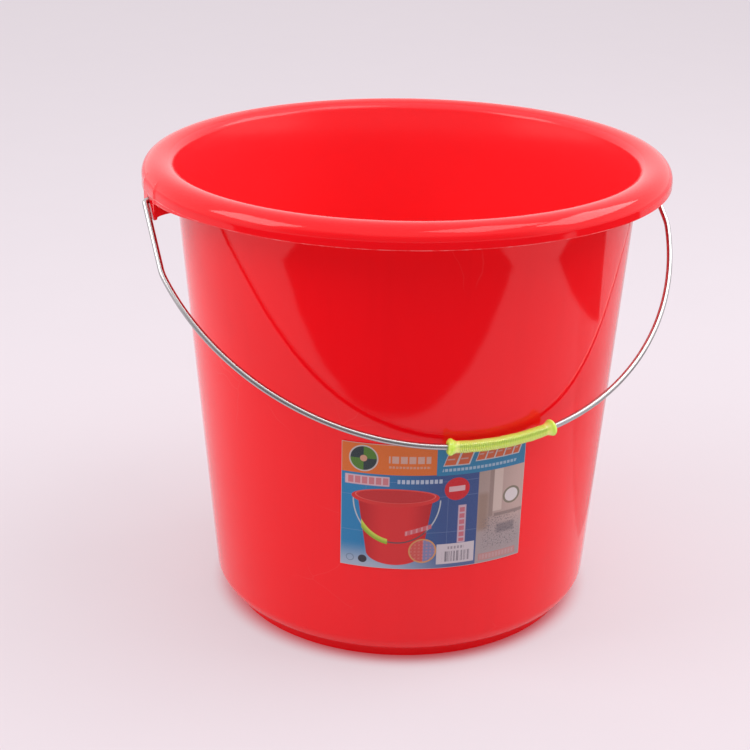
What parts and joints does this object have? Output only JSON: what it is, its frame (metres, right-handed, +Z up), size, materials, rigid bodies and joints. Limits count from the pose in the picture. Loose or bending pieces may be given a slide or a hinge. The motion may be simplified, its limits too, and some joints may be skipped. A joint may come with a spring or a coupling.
{
  "type": "wash bucket",
  "caption": "Round plastic wash bucket with a rolled rim, ears, a swinging wire bail with a hand grip and a printed wall label.",
  "frame": {"origin": "centre of the foot ring's rest face", "axes": "+Z up through the open mouth, +X through the right ear, and the bail hangs toward -Y"},
  "size_m": [0.318, 0.31, 0.2772],
  "materials": {
    "red_plastic": "glossy moulded",
    "plated_wire": "bright plated",
    "green_plastic": "glossy translucent",
    "printed_film": "satin printed film"
  },
  "bodies": {
    "bucket": {"bucket_shell": "red_plastic", "label": "printed_film"},
    "bail": {"bail_wire": "plated_wire"},
    "grip": {"grip_sleeve": "green_plastic"}
  },
  "joints": [
    {"name": "bail_swing", "type": "hinge", "parent": "bucket", "child": "bail", "pos_m": [0, 0, 0.2613], "axis": [-1, 0, 0], "range_deg": [0, 262.8]},
    {"name": "grip_slide", "type": "hinge", "parent": "bail", "child": "grip", "pos_m": [0, -0.0114, 0.25125], "axis": [0, -0.6613, 0.7501], "range_deg": [-67, 61.5]}
  ]
}
